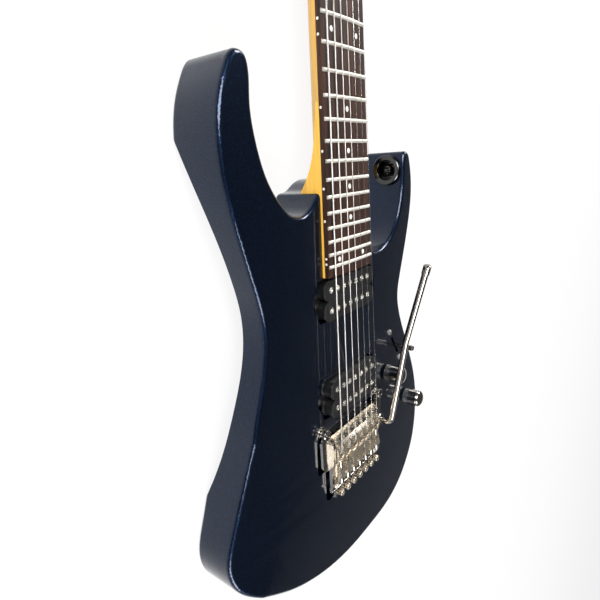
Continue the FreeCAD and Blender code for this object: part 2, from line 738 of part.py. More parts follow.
def pole(x, y, top):
    screw = post(x, y, top - BOBBIN_HEIGHT - 1.5, top + 0.6, POLE_RADIUS)
    return screw.cut(hexagon(x, y, top - 1.2, top + 2, 2.4))


def make_pickup(y, top, pitch):
    rows = (y - COIL_OFFSET, y + COIL_OFFSET)
    bobbins = group([bobbin(row, top, pitch) for row in rows])
    poles = [pole(string_x(i, pitch), row, top) for row in rows for i in range(STRINGS)]
    under = top - BOBBIN_HEIGHT
    plate = rounded_box(-37, 37, y - 16.5, y + 16.5, under - 1.5, under, 3)
    tabs = rounded_box(-46.4, 46.4, y - 5, y + 5, under - 1.5, under, 3)
    holes = [post(string_x(i, pitch), row, 0, FACE, POLE_RADIUS + 0.02)
             for row in rows for i in range(STRINGS)]
    holes += [post(end * 43.0, y, 0, FACE, 1.6) for end in (-1, 1)]
    baseplate = plate.fuse(tabs).removeSplitter().cut(holes)
    mounting = []
    for end in (-1, 1):
        head = V(end * 43.0, y, under)
        reach = under - PICKUP_FLOOR + 4.5
        mounting.append(dome_screw(head, UP, 2.8, 1.8, 1.2, reach))
        foam = post(end * 43.0, y, PICKUP_FLOOR, under - 1.5, 3.2)
        mounting.append(foam.cut(post(end * 43.0, y, 0, FACE, 1.3)))
    return bobbins, poles, baseplate, mounting


PICKUP_SCREWS = [(end * 43.0, y) for y in (NECK_PICKUP_Y, BRIDGE_PICKUP_Y) for end in (-1, 1)]


# ---------------------------------------------------------------- controls

KNOB_RADIUS = 8.6
KNOB_FOOT = FACE + 1.6
KNOB_TOP = FACE + 21.4
SHAFT_RADIUS = 3.0
SWITCH_SCREW = 20.6


def make_potentiometer(place):
    can = turned([
        (SHAFT_RADIUS + 0.05, 0), (4.75, 0), (4.75, -7.0), (12, -7.0), (12, -15.5),
        (0, -15.5), (0, -12.0), (SHAFT_RADIUS + 0.05, -12.0),
    ], V(place.x, place.y, FACE))
    lugs = box(place.x - 6, place.x + 6, place.y - 17, place.y - 10, FACE - 9.4, FACE - 8.4)
    return can.fuse(lugs).removeSplitter()


def make_pot_nut(place):
    nut = hexagon(place.x, place.y, FACE, FACE + 0.9, 9.5)
    return nut.cut(post(place.x, place.y, 0, FACE + 5, SHAFT_RADIUS + 0.1))


def make_knob(place):
    r = KNOB_RADIUS
    top = KNOB_TOP - KNOB_FOOT
    shell = turned([
        (SHAFT_RADIUS, 0), (r - 0.5, 0), (r, 0.6), (r, top - 4.0), (r - 0.5, top - 3.2),
        (r - 1.6, top - 1.7), (r - 3.6, top - 0.6), (0, top), (0, top - 5.0),
        (SHAFT_RADIUS, top - 5.0),
    ], V(place.x, place.y, KNOB_FOOT))
    groove = turned([(r - 0.35, top - 4.6), (r + 1, top - 4.6), (r + 1, top - 4.1),
                     (r - 0.35, top - 4.1)], V(place.x, place.y, KNOB_FOOT))
    spindle = post(place.x, place.y, FACE - 11.5, KNOB_TOP - 5.0, SHAFT_RADIUS)
    pointer = V(place.x, place.y + r - 2.6, KNOB_TOP - 1.1)
    return group([shell.cut([groove, Part.makeSphere(0.7, pointer)]), spindle])


def make_selector():
    """Frame and contacts below the face, and the lever through the slot."""
    bracket = box(-24, 24, -7, 7, CONTROL_CEILING - 1.2, CONTROL_CEILING)
    bracket = bracket.cut(box(-13, 13, -2.2, 2.2, 0, FACE))
    cheeks = [box(-15, 15, side * 5.2 - 0.8, side * 5.2 + 0.8, FACE - 24, CONTROL_CEILING - 1.2)
              for side in (-1, 1)]
    axle = rod(V(0, -5.2, SWITCH_PIVOT_Z), V(0, 5.2, SWITCH_PIVOT_Z), 1.2)
    foot = box(-15, 15, -6, 6, FACE - 25.5, FACE - 24)
    holes = [post(end * SWITCH_SCREW, 0, 0, FACE, 1.7) for end in (-1, 1)]
    frame = join([bracket, axle, foot] + cheeks).cut(holes)
    blade = side_prism([(-1.1, -3.2), (1.1, -3.2), (1.1, 24), (-1.1, 24)], -2.4, 2.4)
    boss = rod(V(0, -3.5, 0), V(0, 3.5, 0), 3.2)
    tip = turned([(0, 22), (2.2, 22), (2.45, 23), (2.75, 34.5), (2.3, 35.8), (0, 36.2)], V(0, 0, 0))
    lever = join([blade, boss, tip]).cut(rod(V(0, -9, 0), V(0, 9, 0), 1.25))
    lever.translate(V(0, 0, SWITCH_PIVOT_Z))
    screws = [dome_screw(V(end * SWITCH_SCREW, 0, FACE), UP, 3.1, 2.2, 1.5, 11) for end in (-1, 1)]
    return along_switch(frame), along_switch(lever), [along_switch(s) for s in screws]


def make_jack():
    """Barrel socket in the rim; the plug enters along its axis."""
    flange = rod(JACK_POINT, JACK_POINT + JACK_OUT * 1.6, 10.6)
    barrel = rod(JACK_POINT - JACK_OUT * 24, JACK_POINT, 6.2)
    nut = rod(JACK_POINT + JACK_OUT * 1.6, JACK_POINT + JACK_OUT * 3.6, 6.6)
    bore = rod(JACK_POINT - JACK_OUT * 22, JACK_POINT + JACK_OUT * 5, 3.2)
    return join([flange, barrel, nut]).cut(bore)


# ---------------------------------------------------------------- tremolo

SADDLE_HALF = 4.7
CLAMP_Y = -7.5
LOCK_SCREW_Y = -27.0
BLOCK_BOTTOM = 7.0
SPRING_Z = 10.0
SPRING_X = [-24.0, -12.0, 0.0, 12.0, 24.0]
CLAW_Y = 98.0
CLAW_SCREWS = [-18.0, 18.0]


def make_base_plate():
    """Plate with knife-edged wings, raised side cheeks and the fine tuners' bridge."""
    middle = PLATE_UNDER + 1.3
    wing = side_prism([
        (-16, PLATE_UNDER), (PIVOT_Y - 3, PLATE_UNDER), (PIVOT_Y, middle - 0.2),
        (PIVOT_Y, middle + 0.2), (PIVOT_Y - 3, PLATE_TOP), (-16, PLATE_TOP),
    ], -50.5, 50.5)
    corners = [e for e in wing.Edges
               if abs(abs(e.BoundBox.Center.x) - 50.5) < 0.1 and e.BoundBox.YMax < -15.9
               and e.BoundBox.ZLength > 2]
    wing = wing.makeFillet(6.0, corners)
    plate = rounded_box(-39.5, 39.5, -38.5, PIVOT_Y - 2.5, PLATE_UNDER, PLATE_TOP, 2)
    cheeks = []
    for side in (-1, 1):
        cheek = rounded_box(-1.5, 1.5, -40, 9, PLATE_TOP - 0.5, FACE + 8.0, 1.4)
        slope = side_prism([(-60, FACE + 12), (-60, FACE + 5.4), (-26, FACE + 5.4),
                            (-10, FACE + 8.1), (9, FACE + 12)], -5, 5)
        cheek = cheek.cut(slope)
        cheek.translate(V(side * 38.4, 0, 0))
        cheeks.append(cheek)
    bridge = side_prism([
        (-47.5, FACE + 1.9), (-38.0, FACE + 1.9), (-38.0, FACE + 4.2), (-39.6, FACE + 6.4),
        (-46.4, FACE + 6.4), (-47.5, FACE + 5.4),
    ], -36.6, 36.6)
    rear = box(-39.9, 39.9, -41.5, -36.5, PLATE_UNDER, PLATE_TOP)
    rail = rod(V(-39.8, -38.4, FACE + 6.2), V(39.8, -38.4, FACE + 6.2), 1.1)
    notches = []
    for end in (-1, 1):
        notches.append(post(end * STUD_X, STUD_Y, FACE - 5, FACE + 9, GROOVE_RADIUS + 0.3))
        side = box(-60, -STUD_X - 3.3, PIVOT_Y - 3.5, 40, FACE, FACE + 9)
        notches.append(side if end < 0 else side.mirror(V(0, 0, 0), ALONG_X))
    notches.append(box(-39, 39, PIVOT_Y - 2.5, PIVOT_Y + 9, FACE - 1, FACE + 9))
    notches.append(post(ARM_X, ARM_Y, FACE - 5, FACE + 9, 4.6))
    notches.append(post(ARM_X, ARM_Y, PLATE_TOP, FACE + 9, 6.8))
    for i in range(STRINGS):
        x = string_x(i, PITCH_BRIDGE)
        notches.append(post(x, TUNER_ROW_Y, FACE - 5, FACE + 9, TUNER_SCREW_RADIUS + 0.05))
        notches.append(post(x, 9.0, FACE - 5, FACE + 9, 1.6))
    return join([wing, plate, bridge, rear, rail] + cheeks).cut(notches)


STUD_RADIUS = 4.6
GROOVE_RADIUS = 3.2
TUNER_SCREW_RADIUS = 1.4


def make_stud(x):
    """Post with a groove for the knife edge, a slotted head and a threaded shank."""
    stud = turned([
        (0, -16), (3.5, -16), (3.5, -4), (STUD_RADIUS, -4), (STUD_RADIUS, 0.6),
        (GROOVE_RADIUS, 1.3), (GROOVE_RADIUS, 4.5), (STUD_RADIUS, 5.2),
        (STUD_RADIUS, 6.4), (3.9, 7.0), (0, 7.0),
    ], V(x, STUD_Y, FACE))
    return stud.cut(hexagon(x, STUD_Y, FACE + 4.6, FACE + 9, 4.0))


def make_bushing(x):
    return turned([
        (3.55, -20), (5.35, -20), (5.35, 0), (6.2, 0), (6.2, 0.4), (4.75, 0.4),
        (4.75, -4.3), (3.55, -4.3),
    ], V(x, STUD_Y, FACE))


def make_saddle(i):
    """Saddle: a tapering channel down into the clamp's pocket, and a tail for the lock screw."""
    x = string_x(i, PITCH_BRIDGE)
    crest = STRING_BRIDGE_Z - crown_drop(x)
    solid = side_prism([
        (12.6, PLATE_TOP), (12.6, PLATE_TOP + 2.1), (6.0, PLATE_TOP + 2.6),
        (3.2, crest - 1.7), (1.2, crest - 0.4), (-3.0, crest + 0.6), (-5.0, crest + 0.5),
        (-14.0, crest - 1.0), (LOCK_SCREW_Y, FACE + 11.6),
        (LOCK_SCREW_Y, FACE + 6.2), (-23.0, PLATE_TOP + 0.9), (-37.0, PLATE_TOP + 0.9),
        (-37.0, PLATE_TOP + 0.2), (-12.0, PLATE_TOP),
    ], x - SADDLE_HALF, x + SADDLE_HALF)
    above = side_prism([
        (2.2, crest - 0.9), (0.2, crest - 0.3), (-0.6, crest - 0.7), (-4.7, crest - 3.3),
        (-4.7, crest + 4), (2.2, crest + 4),
    ], x - 6, x + 6)
    funnel = prism([(x - 4.4, 2.2), (x + 4.4, 2.2), (x + 1.4, -4.7), (x - 1.4, -4.7)], FACE, FACE + 20)
    waist = [
        above.common(funnel),
        box(x - 3.5, x + 3.5, -10.6, -4.6, crest - 5.6, FACE + 20),
        box(x - 9, x - 3.4, -30, -12.5, PLATE_TOP + 2, FACE + 20),
        box(x + 3.4, x + 9, -30, -12.5, PLATE_TOP + 2, FACE + 20),
        rod(V(x, -40, FACE + 8.7), V(x, -9, FACE + 8.7), 1.65),
        post(x, 9.0, FACE, FACE + 20, 1.6),
        post(x, 9.0, PLATE_TOP + 2.1, FACE + 20, 2.7),
    ]
    return solid.cut(waist)


def make_clamp_insert(i):
    x = string_x(i, PITCH_BRIDGE)
    crest = STRING_BRIDGE_Z - crown_drop(x)
    return box(x - 3.4, x + 3.4, -10.5, CLAMP_Y - 0.2, crest - 5.5, crest - 1.2)


def make_lock_screw(i):
    x = string_x(i, PITCH_BRIDGE)
    base = V(x, LOCK_SCREW_Y, FACE + 8.7)
    return socket_screw(base, V(0, -1, 0), 2.9, 5.0, 1.6, 16.0)


def make_saddle_screw(i):
    x = string_x(i, PITCH_BRIDGE)
    return socket_screw(V(x, 9.0, PLATE_TOP + 2.1), UP, 2.5, 2.2, 1.5, 4.6)


def make_fine_tuner(i):
    """Thumb screw with a coin-edged head."""
    x = string_x(i, PITCH_BRIDGE)
    screw = turned([
        (0, 0), (TUNER_SCREW_RADIUS, 0.3), (TUNER_SCREW_RADIUS, 4.8), (2.6, 4.8),
        (3.2, 5.4), (3.2, 8.0), (2.7, 8.7), (0, 8.7),
    ], V(x, TUNER_ROW_Y, FACE + 1.9))
    notches = []
    for k in range(8):
        turn = math.radians(45 * k)
        at = V(x + 3.5 * math.cos(turn), TUNER_ROW_Y + 3.5 * math.sin(turn), 0)
        notches.append(post(at.x, at.y, FACE + 6.5, FACE + 12, 0.65))
    notches.append(hexagon(x, TUNER_ROW_Y, FACE + 9.2, FACE + 12, 2.4))
    return screw.cut(notches)


def make_sustain_block():
    block = rounded_box(-36, 36, -3, 12, BLOCK_BOTTOM, PLATE_UNDER, 2)
    hooks = [rod(V(x, 4, SPRING_Z), V(x, 20, SPRING_Z), 1.3) for x in SPRING_X]
    drills = [post(string_x(i, PITCH_BRIDGE), 3.5, 0, FACE - 8, 2.2) for i in range(STRINGS)]
    return block.cut(drills + hooks)


def make_springs():
    """Five extension springs from the block to the claw, as closed coils with end hooks."""
    springs = []
    for x in SPRING_X:
        coil = rod(V(x, 20, SPRING_Z), V(x, 86, SPRING_Z), 3.9)
        coil = coil.cut(rod(V(x, 19, SPRING_Z), V(x, 87, SPRING_Z), 2.9))
        lids = [rod(V(x, 20, SPRING_Z), V(x, 21, SPRING_Z), 3.9),
                rod(V(x, 85, SPRING_Z), V(x, 86, SPRING_Z), 3.9)]
        near = rod(V(x, 7, SPRING_Z), V(x, 20.5, SPRING_Z), 0.8)
        far = rod(V(x, 85.5, SPRING_Z), V(x, CLAW_Y + 0.5, SPRING_Z), 0.8)
        springs.append(join([coil, near, far] + lids))
    return group(springs)


def make_claw():
    plate = rounded_box(-32, 32, CLAW_Y, CLAW_Y + 7, SPRING_Z - 6.0, SPRING_Z - 4.0, 2)
    wall = box(-32, 32, CLAW_Y + 5.0, CLAW_Y + 7, SPRING_Z - 6.0, SPRING_Z + 4)
    fingers = [box(x - 2, x + 2, CLAW_Y, CLAW_Y + 6, SPRING_Z - 5, SPRING_Z - 0.9)
               for x in SPRING_X]
    holes = [rod(V(x, 80, SPRING_Z), V(x, 130, SPRING_Z), 2.1) for x in CLAW_SCREWS]
    screws = [dome_screw(V(x, CLAW_Y + 5.0, SPRING_Z), V(0, -1, 0), 3.4, 2.2, 1.9, 33)
              for x in CLAW_SCREWS]
    return join([plate, wall] + fingers).cut(holes), screws


ARM_RADIUS = 2.9
ARM_RISE = FACE + 18.0
ARM_BEND = 8.0
ARM_ANGLE = -3.0           # from +Y towards +X
ARM_LOWER = (92.0, 11.6)   # length and climb in degrees, up to the kink
ARM_UPPER = (74.0, 16.4)


def make_arm_socket():
    sleeve = turned([
        (ARM_RADIUS + 0.08, -2.6), (4.55, -2.6), (4.55, PLATE_TOP - FACE), (6.4, PLATE_TOP - FACE),
        (6.4, 6.4), (5.6, 7.4), (ARM_RADIUS + 0.08, 7.4),
    ], V(ARM_X, ARM_Y, FACE))
    return sleeve


def make_arm():
    """Bent steel arm: up out of its socket, round, and along above the strings."""
    turn = math.radians(ARM_ANGLE)
    ahead = V(math.sin(turn), math.cos(turn), 0)

    def heading(climb):
        return ahead * math.cos(math.radians(climb)) + UP * math.sin(math.radians(climb))

    foot = V(ARM_X, ARM_Y, FACE - 2.2)
    corner = V(ARM_X, ARM_Y, ARM_RISE)
    kink = corner + heading(ARM_LOWER[1]) * ARM_LOWER[0]
    tip = kink + heading(ARM_UPPER[1]) * ARM_UPPER[0]
    edges = []
    start = foot
    for before, at, after, radius in [
        (foot, corner, kink, ARM_BEND), (corner, kink, tip, 60.0),
    ]:
        arriving = (at - before).normalize()
        leaving = (after - at).normalize()
        half_turn = arriving.getAngle(leaving) / 2
        back = radius * math.tan(half_turn)
        begin = at - arriving * back
        end = at + leaving * back
        inward = (leaving - arriving).normalize()
        middle = at + inward * (radius / math.cos(half_turn) - radius)
        edges.append(Part.makeLine(start, begin))
        edges.append(Part.Arc(begin, middle, end).toShape())
        start = end
    edges.append(Part.makeLine(start, tip))
    path = Part.Wire(edges)
    ring = Part.Wire(Part.makeCircle(ARM_RADIUS, foot, UP))
    arm = path.makePipeShell([ring], True, True)
    cap = turned([(0, -6), (ARM_RADIUS + 0.5, -6), (ARM_RADIUS + 0.5, 1.5),
                  (ARM_RADIUS - 0.8, 2.6), (0, 2.6)], tip, (tip - kink).normalize())
    return arm.fuse(cap).removeSplitter()


# ---------------------------------------------------------------- fittings and covers

def make_neck_bolts():
    """Ferrules let into the back, and the screws that hold the neck."""
    ferrules = []
    screws = []
    for x, y in BOLTS:
        ferrules.append(turned([(2.7, 4.0), (6.5, 4.0), (6.5, 0.4), (6.0, 0), (4.6, 0),
                                (4.6, 2.9), (2.7, 2.9)], V(x, y, 0)))
        screws.append(dome_screw(V(x, y, 2.9), V(0, 0, -1), 4.0, 2.0, 2.25, 37))
    return group(ferrules + screws)


def make_strap_button():
    """Button at the tail, with its screw."""
    button = turned([(2.0, 0), (6.5, 0), (6.5, 1.2), (3.8, 3.0), (3.8, 9.0), (7.2, 12.0),
                     (7.2, 13.5), (6.4, 14.3), (4.6, 14.3), (4.4, 12.8), (2.0, 12.8)],
                    TAIL, V(0, -1, 0))
    screw = dome_screw(TAIL - V(0, 12.8, 0), V(0, -1, 0), 3.9, 1.9, 1.7, 37)
    return button, screw


def make_strap_lock():
    """Dished cup let into the wall of the treble cutaway, with a ball-ended stud."""
    r = LOCK_RADIUS
    cup = turned([
        (1.9, -LOCK_DEPTH + 0.1), (r - 3.1, -LOCK_DEPTH + 0.1), (r - 3.1, -1.4), (r, -1.4), (r, 3.4),
        (r - 0.8, 4.2), (r - 4.6, 2.8), (r - 5.2, 1.4), (r - 5.2, -LOCK_DEPTH + 2.0),
        (1.9, -LOCK_DEPTH + 2.0),
    ], LOCK, LOCK_OUT)
    stud = turned([
        (0, -17), (1.7, -17), (1.7, -LOCK_DEPTH + 2.0), (6.2, -LOCK_DEPTH + 2.0),
        (6.2, -LOCK_DEPTH + 3.4), (4.2, -LOCK_DEPTH + 4.2), (4.2, -0.6), (2.6, 0.2),
        (2.1, 1.0), (2.1, 2.0), (1.2, 3.2), (0, 3.5),
    ], LOCK, LOCK_OUT)
    return cup, stud


COVER_SCREWS = [
    (-42.45, -6), (42.45, -6), (-42.45, 51), (42.45, 51), (-42.45, 108), (42.45, 108),
    (53.05, 39.16), (61.3, 76.1), (96.66, 69.15), (123.9, 0.65), (111.4, -58.4), (78.9, -20.26),
]


def make_covers():
    x0, x1, y0, y1 = SPRING_BAY
    reach = COVER_LEDGE - 0.15
    spring = rounded_box(x0 - reach, x1 + reach, y0 - reach, y1 + reach, 0, COVER_THICKNESS, 7.8)
    window = rounded_box(-32, 32, -8, 16, -1, 5, 4)
    control = widened(CONTROL_OUTLINE, 0, COVER_THICKNESS, reach)
    holes = [turned([(0, 5), (1.4, 5), (1.4, 1.35), (2.9, -0.2), (0, -0.2)], V(x, y, 0))
             for x, y in COVER_SCREWS]
    screws = []
    for x, y in COVER_SCREWS:
        screw = turned([(0, 0.1), (2.4, 0.1), (1.25, 1.2), (1.25, 7.5), (0, 8.5)], V(x, y, 0))
        cross = [box(x - 1.3, x + 1.3, y - 0.3, y + 0.3, -1, 0.7),
                 box(x - 0.3, x + 0.3, y - 1.3, y + 1.3, -1, 0.7)]
        screws.append(screw.cut(cross))
    return spring.cut([window] + holes), control.cut(holes), screws


# ---------------------------------------------------------------- the guitar

def make_all():
    nodes = {}
    nodes["body"] = make_body()
    nodes["neck"] = make_neck()
    board = board_solid()
    dots = markers()
    nodes["fretboard"] = on_neck(board.cut(dots))
    nodes["fret_markers"] = group([on_neck(d) for d in dots])
    nodes["frets"] = make_frets()
    nodes["truss_rod"] = make_truss_rod()
    nodes["truss_rod_cover"] = make_truss_cover()
    nodes["locking_nut_base"] = make_nut_base()
    nodes["nut_clamp_blocks"], clamp_screws = make_nut_clamps()
    nodes["string_retainer"], retainer_screws = make_retainer()
    small = [on_head(dome_screw(V(x, y, 1.8), UP, 2.0, 1.2, 1.0, 7)) for x, y in TRUSS_COVER_SCREWS]
    small += [make_tuner_screw(i) for i in range(STRINGS)]
    nodes["headstock_screws"] = group(clamp_screws + retainer_screws + small)
    housings = [make_tuner_housing(i) for i in range(STRINGS)]
    nodes["tuner_housings"] = group(housings + [make_tuner_bushing(i) for i in range(STRINGS)])
    for i in range(STRINGS):
        nodes["tuner_post_%d" % (i + 1)] = make_tuner_post(i)
        nodes["tuner_button_%d" % (i + 1)] = make_tuner_button(i)
        nodes["fine_tuner_%d" % (i + 1)] = make_fine_tuner(i)
    nodes["strings"] = make_strings()

    baseplates = []
    pole_pieces = []
    wood_screws = []
    for name, y, top in (("neck", NECK_PICKUP_Y, NECK_PICKUP_TOP),
                         ("bridge", BRIDGE_PICKUP_Y, BRIDGE_PICKUP_TOP)):
        bobbins, poles, baseplate, mounting = make_pickup(y, top, POLE_PITCH[name])
        nodes[name + "_pickup_bobbins"] = bobbins
        pole_pieces += poles
        baseplates.append(baseplate)
        wood_screws += mounting
    nodes["pickup_baseplates"] = group(baseplates)
    nodes["pickup_pole_pieces"] = group(pole_pieces)

    cans = [make_potentiometer(VOLUME), make_potentiometer(TONE)]
    nodes["potentiometers"] = group(cans + [make_pot_nut(VOLUME), make_pot_nut(TONE)])
    nodes["volume_knob"] = make_knob(VOLUME)
    nodes["tone_knob"] = make_knob(TONE)
    frame, lever, screws = make_selector()
    nodes["selector_switch"] = frame
    nodes["selector_lever"] = lever
    wood_screws += screws
    nodes["output_jack"] = make_jack()

    nodes["tremolo_base_plate"] = make_base_plate()
    studs = [make_stud(STUD_X * end) for end in (-1, 1)]
    nodes["pivot_studs"] = group(studs + [make_bushing(STUD_X * end) for end in (-1, 1)])
    saddles = [make_saddle(i) for i in range(STRINGS)]
    nodes["saddles"] = group(saddles + [make_clamp_insert(i) for i in range(STRINGS)])
    lock_screws = [make_lock_screw(i) for i in range(STRINGS)]
    saddle_screws = [make_saddle_screw(i) for i in range(STRINGS)]
    nodes["bridge_screws"] = group(lock_screws + saddle_screws)
    nodes["sustain_block"] = make_sustain_block()
    nodes["tremolo_springs"] = make_springs()
    nodes["spring_claw"], screws = make_claw()
    wood_screws += screws
    nodes["arm_socket"] = make_arm_socket()
    nodes["tremolo_arm"] = make_arm()

    nodes["neck_bolts"] = make_neck_bolts()
    nodes["strap_button"], screw = make_strap_button()
    wood_screws.append(screw)
    cup, stud = make_strap_lock()
    nodes["strap_lock_cup"] = cup
    nodes["strap_lock_stud"] = stud
    nodes["spring_cover"], nodes["control_cover"], screws = make_covers()
    nodes["wood_screws"] = group(wood_screws + screws)
    return nodes


os.makedirs("parts", exist_ok=True)
for old in os.listdir("parts"):
    os.remove(os.path.join("parts", old))
for node_name, node_shape in make_all().items():
    node_shape.translate(V(0, -REST_Y, 0))
    node_shape.exportStep("parts/%s.step" % node_name)
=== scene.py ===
import json
import math

import bmesh
import bpy
from mathutils import Matrix, Vector

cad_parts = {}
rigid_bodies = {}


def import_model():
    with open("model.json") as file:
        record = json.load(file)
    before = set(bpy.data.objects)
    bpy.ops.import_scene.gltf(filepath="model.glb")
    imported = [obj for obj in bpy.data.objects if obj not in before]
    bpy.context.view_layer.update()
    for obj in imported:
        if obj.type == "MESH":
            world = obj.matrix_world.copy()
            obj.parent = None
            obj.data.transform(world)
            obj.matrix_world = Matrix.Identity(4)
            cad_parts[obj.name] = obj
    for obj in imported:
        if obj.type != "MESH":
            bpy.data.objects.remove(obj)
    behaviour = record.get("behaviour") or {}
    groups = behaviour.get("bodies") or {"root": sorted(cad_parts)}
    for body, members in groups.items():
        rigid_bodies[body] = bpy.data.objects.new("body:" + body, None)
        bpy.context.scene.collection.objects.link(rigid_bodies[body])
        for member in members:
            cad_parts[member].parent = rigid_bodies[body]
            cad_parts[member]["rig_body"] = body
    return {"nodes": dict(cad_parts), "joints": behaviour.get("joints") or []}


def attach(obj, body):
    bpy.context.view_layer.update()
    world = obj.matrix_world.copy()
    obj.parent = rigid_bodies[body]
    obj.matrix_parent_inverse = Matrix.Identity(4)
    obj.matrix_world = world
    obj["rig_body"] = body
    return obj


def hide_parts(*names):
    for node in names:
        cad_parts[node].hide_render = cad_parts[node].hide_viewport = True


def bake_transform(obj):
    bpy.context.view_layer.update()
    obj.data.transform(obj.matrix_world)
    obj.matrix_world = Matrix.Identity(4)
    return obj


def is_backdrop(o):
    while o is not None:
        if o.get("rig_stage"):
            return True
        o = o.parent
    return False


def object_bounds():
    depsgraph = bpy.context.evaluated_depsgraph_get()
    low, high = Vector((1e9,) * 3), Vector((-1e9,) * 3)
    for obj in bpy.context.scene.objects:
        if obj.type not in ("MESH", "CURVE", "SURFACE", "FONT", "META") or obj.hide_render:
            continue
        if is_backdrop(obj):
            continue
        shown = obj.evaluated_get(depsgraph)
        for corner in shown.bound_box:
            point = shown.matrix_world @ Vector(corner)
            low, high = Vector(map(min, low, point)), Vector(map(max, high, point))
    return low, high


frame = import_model()

MM = 0.001

# In millimetres: from the saddles up the neck to the frame's origin, and from the back to the face.
REST_Y = 140.0
FACE = 44.0

# The strings from bass to treble, with their diameters in millimetres; the first ones are wound.
GAUGES = [1.50, 1.17, 0.91, 0.66, 0.43, 0.33, 0.25]
STRINGS = len(GAUGES)
WOUND = 4


def at(x, y, z):
    """A point in millimetres, measured along the guitar from its saddles, in the frame's metres."""
    return Vector((x * MM, (y - REST_Y) * MM, z * MM))


def corners():
    """The whole object's lowest and highest corners as plain lists."""
    return [list(corner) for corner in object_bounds()]


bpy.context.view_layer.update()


# ---------------------------------------------------------------- camera

LENS = 28.74
SENSOR_WIDTH = 36.0
CAMERA_PLACE = (-334.83, 240.54, 262.24)

# The camera's own directions, each of length one.
RIGHT = Vector((0.61343, -0.05754, 0.78767))
DOWN = Vector((-0.24675, -0.96140, 0.12194))
FORWARD = Vector((0.75022, -0.26916, -0.60394))


def make_camera():
    data = bpy.data.cameras.new("camera")
    data.lens = LENS
    data.sensor_width = SENSOR_WIDTH
    data.clip_start = 0.01
    data.clip_end = 50.0
    camera = bpy.data.objects.new("camera", data)
    rows = Matrix((RIGHT, -DOWN, -FORWARD)).transposed()
    camera.matrix_world = Matrix.Translation(at(*CAMERA_PLACE)) @ rows.to_4x4()
    bpy.context.scene.collection.objects.link(camera)
    bpy.context.scene.camera = camera


make_camera()


# ---------------------------------------------------------------- materials

# A Mix node's colour sockets, which share their names with its number sockets.
MIX_A = 6
MIX_B = 7
MIX_RESULT = 2


class Paint:
    """A material and its nodes, with short ways to add and join them."""

    def __init__(self, name):
        self.material = bpy.data.materials.new(name)
        self.material.use_nodes = True
        self.tree = self.material.node_tree
        self.shader = self.tree.nodes["Principled BSDF"]
        self.place = self.tree.nodes.new("ShaderNodeTexCoord").outputs["Object"]

    def set(self, **values):
        """Sets the shader's own sockets, named with _ for a space."""
        for name, value in values.items():
            self.shader.inputs[name.replace("_", " ")].default_value = value

    def link(self, start, end):
        self.tree.links.new(start, end)

    def node(self, kind, inputs=None, **settings):
        """Adds a node; each input is a number, a vector or another node's socket."""
        made = self.tree.nodes.new("ShaderNode" + kind)
        for name, value in settings.items():
            setattr(made, name, value)
        for name, value in (inputs or {}).items():
            socket = made.inputs[name]
            if isinstance(value, bpy.types.NodeSocket):
                self.link(value, socket)
            else:
                socket.default_value = value
        return made

    def stretched(self, sx, sy, sz):
        """The place on the object with its axes scaled, for a grain that runs one way."""
        mapping = self.node("Mapping", {"Vector": self.place, "Scale": (sx, sy, sz)})
        return mapping.outputs["Vector"]

    def noise(self, vector, scale, detail=3.0, roughness=0.5):
        made = self.node("TexNoise", {
            "Vector": vector, "Scale": scale, "Detail": detail, "Roughness": roughness})
        return made.outputs["Fac"]

    def ramp(self, value, stops):
        """A colour by value; stops are (position, colour) from low to high."""
        made = self.node("ValToRGB", {"Fac": value})
        elements = made.color_ramp.elements
        while len(elements) < len(stops):
            elements.new(0.5)
        for element, (position, colour) in zip(elements, stops):
            element.position = position
            element.color = (*colour, 1.0)
        return made.outputs["Color"]

    def spread(self, value, low, high):
        """The value's 0 to 1 taken to low to high."""
        made = self.node("MapRange", {"Value": value, "To Min": low, "To Max": high})
        return made.outputs["Result"]

    def multiply(self, a, b, factor):
        """One colour times another, by a share of factor."""
        made = self.node("Mix", {"Factor": factor}, data_type="RGBA", blend_type="MULTIPLY")
        self.link(a, made.inputs[MIX_A])
        self.link(b, made.inputs[MIX_B])
        return made.outputs[MIX_RESULT]

    def bump(self, height, strength, distance):
        made = self.node("Bump", {
            "Height": height, "Strength": strength, "Distance": distance})
        return made.outputs["Normal"]

    def colour(self, socket):
        self.link(socket, self.shader.inputs["Base Color"])

    def rough(self, socket):
        self.link(socket, self.shader.inputs["Roughness"])

    def normal(self, socket, name="Normal"):
        self.link(socket, self.shader.inputs[name])


def lacquer():
    """Dark blue paint with fine flake and slow clouds, under a clear coat with slight orange peel."""
    paint = Paint("navy_lacquer")
    paint.set(Metallic=0.85, Roughness=0.30, Coat_Weight=1.0, Coat_Roughness=0.012, Coat_IOR=1.32)
    cells = paint.node("TexVoronoi", {"Vector": paint.place, "Scale": 2600.0})
    flake = paint.node("SeparateColor", {"Color": cells.outputs["Color"]}).outputs["Red"]
    cloud = paint.noise(paint.place, 9.0, 4.0)
    base = paint.ramp(flake, [
        (0.0, (0.0006, 0.0048, 0.016)), (0.82, (0.0014, 0.0098, 0.032)),
        (1.0, (0.006, 0.032, 0.095))])
    shade = paint.ramp(cloud, [(0.3, (0.86, 0.90, 0.92)), (0.7, (1.0, 1.0, 1.0))])
    paint.colour(paint.multiply(base, shade, 1.0))
    paint.normal(paint.bump(flake, 0.12, 0.0004))
    peel = paint.noise(paint.place, 160.0, 1.0)
    paint.normal(paint.bump(peel, 0.03, 0.0006), "Coat Normal")
    return paint.material


